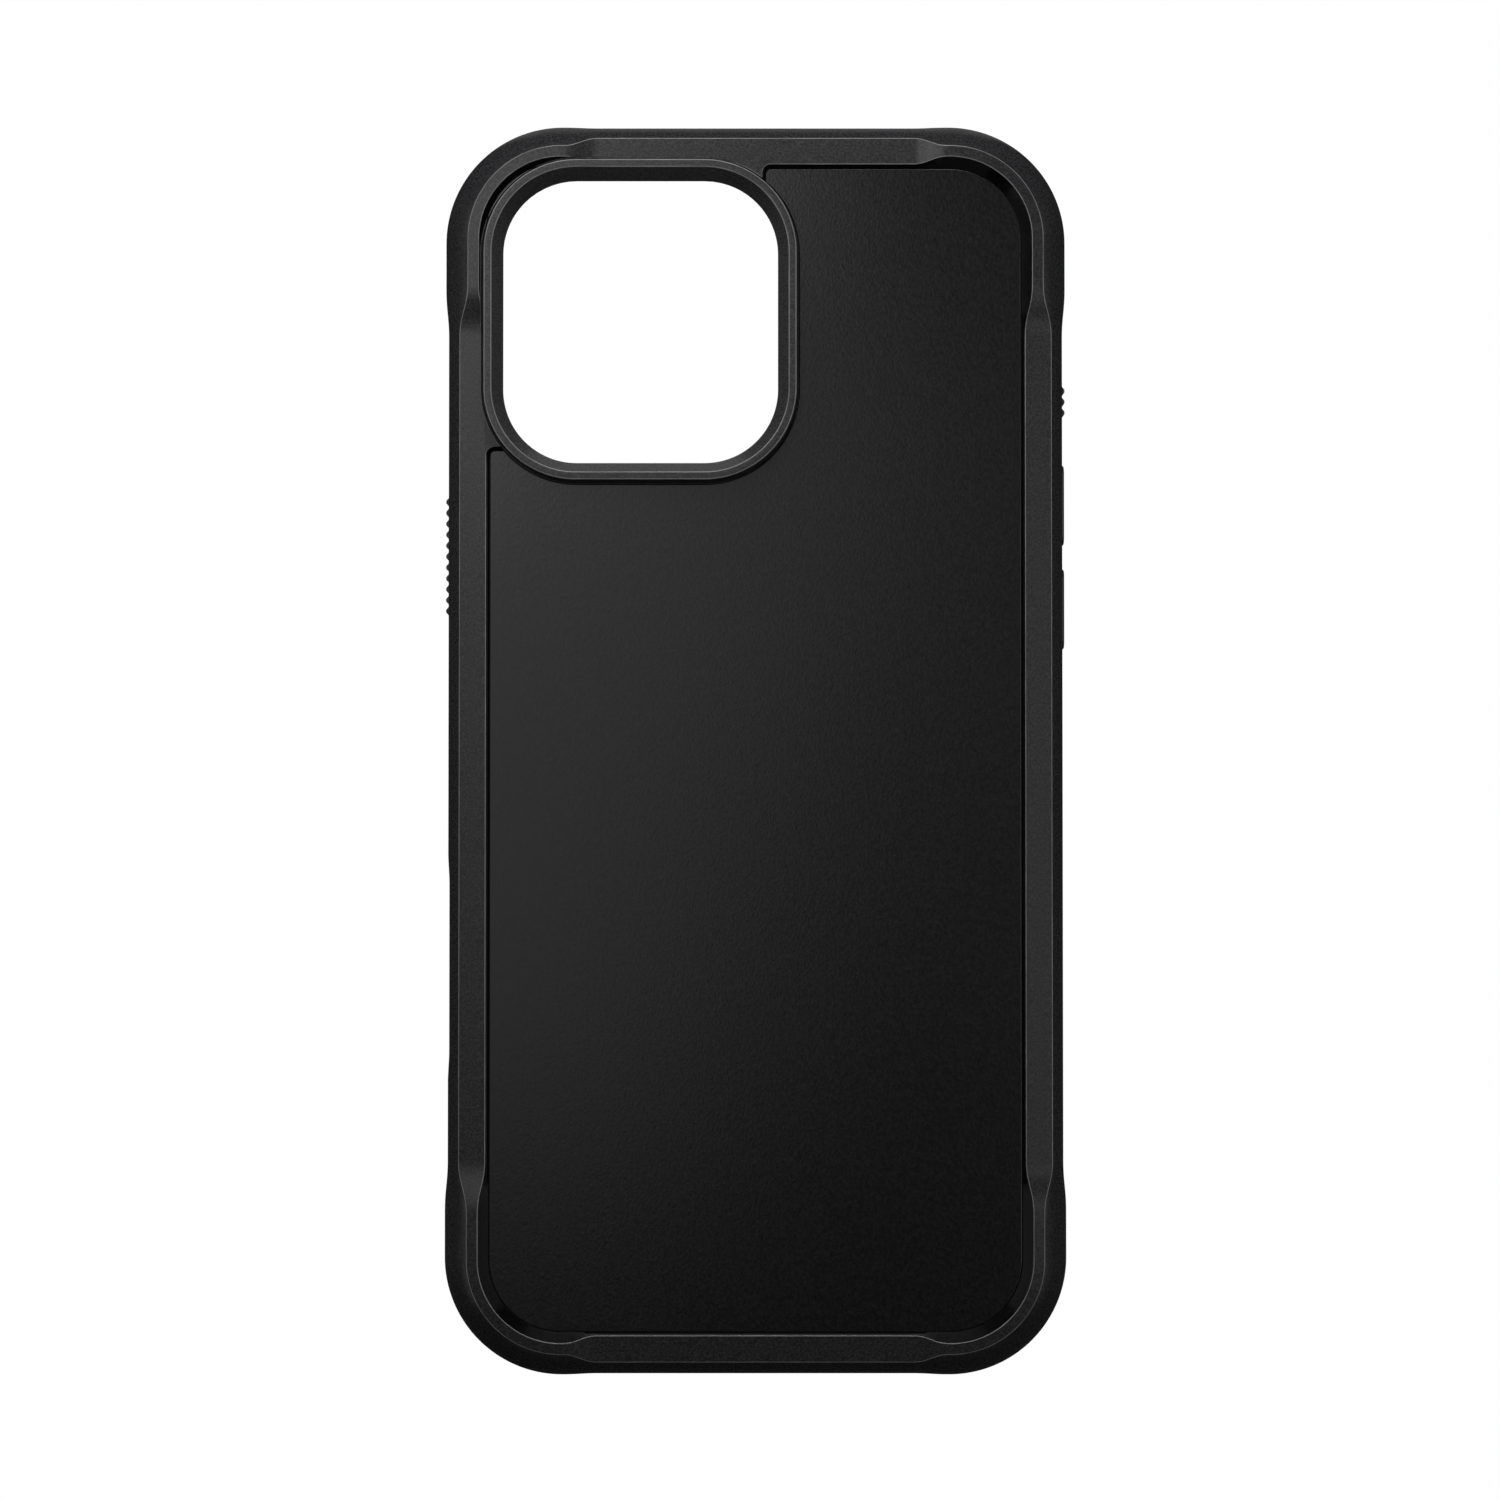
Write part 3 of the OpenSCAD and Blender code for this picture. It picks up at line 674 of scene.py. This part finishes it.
def wall_loop(centre, length, height, radius, side, depth):
    """A rounded rectangle on a side wall, at a distance from the middle of the case."""
    half_l, half_h = length / 2, height / 2
    plan = soften([(sy * half_l, sz * half_h, radius)
                   for sy, sz in ((1, 1), (-1, 1), (-1, -1), (1, -1))], 8)
    return [Vector((side * depth, centre + p.x, z_mid + p.y)) for p in plan]


def end_loop(centre, length, height, radius, depth):
    """A rounded rectangle on the lower end wall."""
    half_l, half_h = length / 2, height / 2
    plan = soften([(sx * half_l, sz * half_h, radius)
                   for sx, sz in ((1, 1), (-1, 1), (-1, -1), (1, -1))], 8)
    return [Vector((centre + p.x, -depth, z_mid + p.y)) for p in plan]


buttons = {name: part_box(name + "_cap") for name in
           ("power_button", "action_button", "volume_up", "volume_down")}
z_mid = sum(corner.z for corner in buttons["power_button"]) / 2
wall_face = edge.x + side_wall
flange_side, flange_rise = 0.8 * MM, 0.5 * MM
window_gap = 0.15 * MM
button_radius = 1.3 * MM
window_rim = 0.18 * MM


def button_place(name):
    """Side of the case, middle along it, and the cap's length and height."""
    a, b = buttons[name]
    length = b.y - a.y - 2 * flange_side
    height = b.z - a.z - 2 * flange_rise
    return math.copysign(1, a.x + b.x), (a.y + b.y) / 2, length, height


for name in buttons:
    side, centre, length, height = button_place(name)
    grown = [(window_gap, core_high.x - MM)]
    grown += [(window_gap + out, wall_face - window_rim + up) for out, up in flare_steps(window_rim)]
    grown += [(window_gap + window_rim, wall_face + MM)]
    window = stack_loops([wall_loop(centre, length + 2 * out, height + 2 * out, button_radius + out, side, x)
                          for out, x in grown], name + "_window")
    combine(bumper, window, "DIFFERENCE")

# The finger scoop narrows from a long dish in the outer face to the slot behind it.
slot_from_top = 111.2 * MM
slot_centre = edge.y - slot_from_top
scoop_length, scoop_height, scoop_radius = 32.9 * MM, 10.2 * MM, 4.5 * MM
slot_length, slot_height, slot_radius = 20 * MM, 5 * MM, 1.5 * MM
scoop_foot = core_high.x + 0.15 * MM
scoop_steps = 6
scoop_belly, scoop_curve, scoop_over = 0.05, 1.35, 1.12


def scoop_loop(share, x):
    """A loop part of the way from the slot to the dish in the outer face."""
    return wall_loop(slot_centre, slot_length + (scoop_length - slot_length) * share,
                     slot_height + (scoop_height - slot_height) * share,
                     slot_radius + (scoop_radius - slot_radius) * share, -1, x)


scoop = stack_loops(
    [scoop_loop(0, core_high.x - 2 * MM), scoop_loop(0, scoop_foot)]
    + [scoop_loop(t + scoop_belly * math.sin(math.pi * t),
                  scoop_foot + (wall_face - scoop_foot) * (1 - (1 - t) ** scoop_curve))
       for t in [i / scoop_steps for i in range(1, scoop_steps + 1)]]
    + [scoop_loop(scoop_over, wall_face + 2 * MM)], "scoop")
combine(bumper, scoop, "DIFFERENCE")

# The charging port and the two sound slots go through the lower end wall.
end_face = edge.y + end_wall
port_rim = 0.3 * MM
port_roundness = 0.45
for centre, length, height in ((0, 14 * MM, 6.4 * MM), (-19 * MM, 12.5 * MM, 2.4 * MM),
                               (19 * MM, 12.5 * MM, 2.4 * MM)):
    grown = [(0, edge.y - 2 * MM)]
    grown += [(out, end_face - port_rim + up) for out, up in flare_steps(port_rim)]
    grown += [(port_rim, end_face + MM)]
    radius = port_roundness * height
    port = stack_loops([end_loop(centre, length + 2 * out, height + 2 * out, radius + out, y)
                        for out, y in grown], "port")
    combine(bumper, port, "DIFFERENCE")

outward(bumper)
# the eased edges get a pale painted highlight colour
soft_black = moulded("soft_black", (0.019, 0.019, 0.020), (0.044, 0.044, 0.047), 0.26 * MM,
                     (0.2, 0.28), 0.010 * MM, painted_highlight=(0.26, 0.26, 0.265), shine=0.4)
finish_piece(bumper, soft_black, "case")


def out_from_phone(place):
    """Distance outside the phone's rounded outline, seen from behind."""
    beyond = Vector((abs(place.x) - arc.x, abs(place.y) - arc.y))
    inside = min(max(beyond.x, beyond.y), 0)
    return Vector((max(beyond.x, 0), max(beyond.y, 0))).length + inside - corner_radius


# The pocket's leaning wall comes from a polished part of the mould, so it has no grain; its much darker
# colour is painted shade.
bumper.data.materials.append(moulded("polished_painted_shade", (0.002, 0.002, 0.0021), (0.004, 0.004, 0.0042),
                                     0.6 * MM, (0.16, 0.2), 0.002 * MM, shine=0.3))
steepest, flattest = 0.2, 0.72
for face in bumper.data.polygons:
    painted_shade_lean = steepest < face.normal.z < flattest and z_panel - 0.1 * MM < face.center.z < z_ridge
    if painted_shade_lean and out_from_phone(face.center) < ridge_in:
        face.material_index = 1
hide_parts("bumper_frame")


# ---- Lens ring ----
# A hard moulded ring glued to the core round the camera opening. It stands proud of the
# band, so that the lenses never touch a table, and its wall slopes in to the opening.
ring_slope, ring_step = 1.45 * MM, 0.3 * MM
z_lens = ring_high.z
ring_section = soften([
    (0, core_high.z, 0), (0, core_high.z + ring_step, 0.12 * MM), (ring_slope, z_lens, 0.16 * MM),
    (ring_top_out, z_lens, 0.16 * MM), (ring_foot_out, core_high.z, 0)], 5)
straight = opening_half - Vector((opening_radius, opening_radius))
lens_surround = draw_loop([Vector((opening_half.x + out, 0, z)) for out, z in ring_section],
                          "lens_surround")
bpy.ops.mesh.extrude_edges_move(TRANSFORM_OT_translate={"value": (0, straight.y, 0)})
bpy.ops.mesh.spin(steps=32, angle=math.pi / 2, center=(straight.x, straight.y, 0), axis=(0, 0, -1))
bpy.ops.mesh.extrude_edges_move(TRANSFORM_OT_translate={"value": (-straight.x, 0, 0)})
mirror_quarter(lens_surround)
outward(lens_surround)
bpy.ops.object.mode_set(mode="EDIT")
bpy.ops.mesh.select_all(action="SELECT")
bpy.ops.transform.translate(value=(opening.x, opening.y, 0))
ring_black = moulded("ring_black", (0.034, 0.034, 0.035), (0.066, 0.066, 0.068), 0.24 * MM,
                     (0.2, 0.26), 0.008 * MM, painted_highlight=(0.26, 0.26, 0.265), shine=0.3)
finish_piece(lens_surround, ring_black, "case")
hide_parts("lens_ring")


# ---- Side buttons ----
# Each button is a hard cap in a window of the soft wall. A flange behind the wall keeps it
# in, and a rubber pad on the flange springs it back and pushes the phone's own key.
# The power and action buttons have moulded ribs, and the two volume buttons are smooth.
plinth, rib_height, rib_pitch = 0.08 * MM, 0.36 * MM, 1.49 * MM
rib_foot, rib_tip, rib_margin = 1.12 * MM, 0.32 * MM, 1.1 * MM
rib_foot_round, rib_tip_round = 0.08 * MM, 0.12 * MM
crown_height, crown_round = 0.35 * MM, 0.3 * MM
flange_depth, flange_ease = 0.45 * MM, 0.06 * MM


def rib_outline(length, x0):
    """Corners [y, x, radius] of the ribs' plan, from one end of the cap to the other."""
    count = math.floor((length - rib_margin) / rib_pitch)
    corners = []
    for i in range(count):
        y = (i - (count - 1) / 2) * rib_pitch
        corners += [(y - rib_foot / 2, x0, rib_foot_round),
                    (y - rib_tip / 2, x0 + rib_height, rib_tip_round),
                    (y + rib_tip / 2, x0 + rib_height, rib_tip_round),
                    (y + rib_foot / 2, x0, rib_foot_round)]
    return corners


def make_cap(name, ribbed):
    """One button's cap with its flange, ribbed or with a smooth crown."""
    side, centre, length, height = button_place(name)
    back = min(abs(corner.x) for corner in buttons[name])
    face = wall_face + plinth
    proud = rib_height if ribbed else crown_height - plinth
    # the block has rounded ends and an eased front
    grown = [(0, back + flange_depth / 2)]
    grown += [(-out, face + proud - crown_round + up) for out, up in flare_steps(crown_round)]
    cap = stack_loops([wall_loop(centre, length + 2 * out, height + 2 * out, button_radius + out, side, x)
                       for out, x in grown], name + "_key")
    if ribbed:
        plan = soften([(-length, back, 0), (-length, face, 0)] + rib_outline(length, face)
                      + [(length, face, 0), (length, back, 0)], 3)
        ribs = stack_loops([[Vector((side * p.y, centre + p.x, z)) for p in plan]
                            for z in (z_mid - height, z_mid + height)], "ribs")
        combine(cap, ribs, "INTERSECT")
    front = back + flange_depth
    flange = stack_loops(
        [wall_loop(centre, length + 2 * flange_side - 2 * ease, height + 2 * flange_rise - 2 * ease,
                   button_radius, side, x)
         for ease, x in ((flange_ease, back), (0, back + flange_ease),
                         (0, front - flange_ease), (flange_ease, front))], "flange")
    combine(cap, flange, "UNION")
    outward(cap)
    return cap


key_black = moulded("key_black", (0.016, 0.016, 0.017), (0.034, 0.034, 0.036), 0.22 * MM,
                    (0.28, 0.36), 0.008 * MM, painted_highlight=(0.08, 0.08, 0.083))
pad_rubber = moulded("pad_rubber", (0.03, 0.03, 0.032), (0.06, 0.06, 0.063), 0.3 * MM,
                     (0.6, 0.75), 0.012 * MM)
for name in buttons:
    cap = make_cap(name, ribbed=name in ("power_button", "action_button"))
    finish_piece(cap, key_black, name, angle=30)
    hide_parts(name + "_cap")
    paint(name + "_pad", pad_rubber)
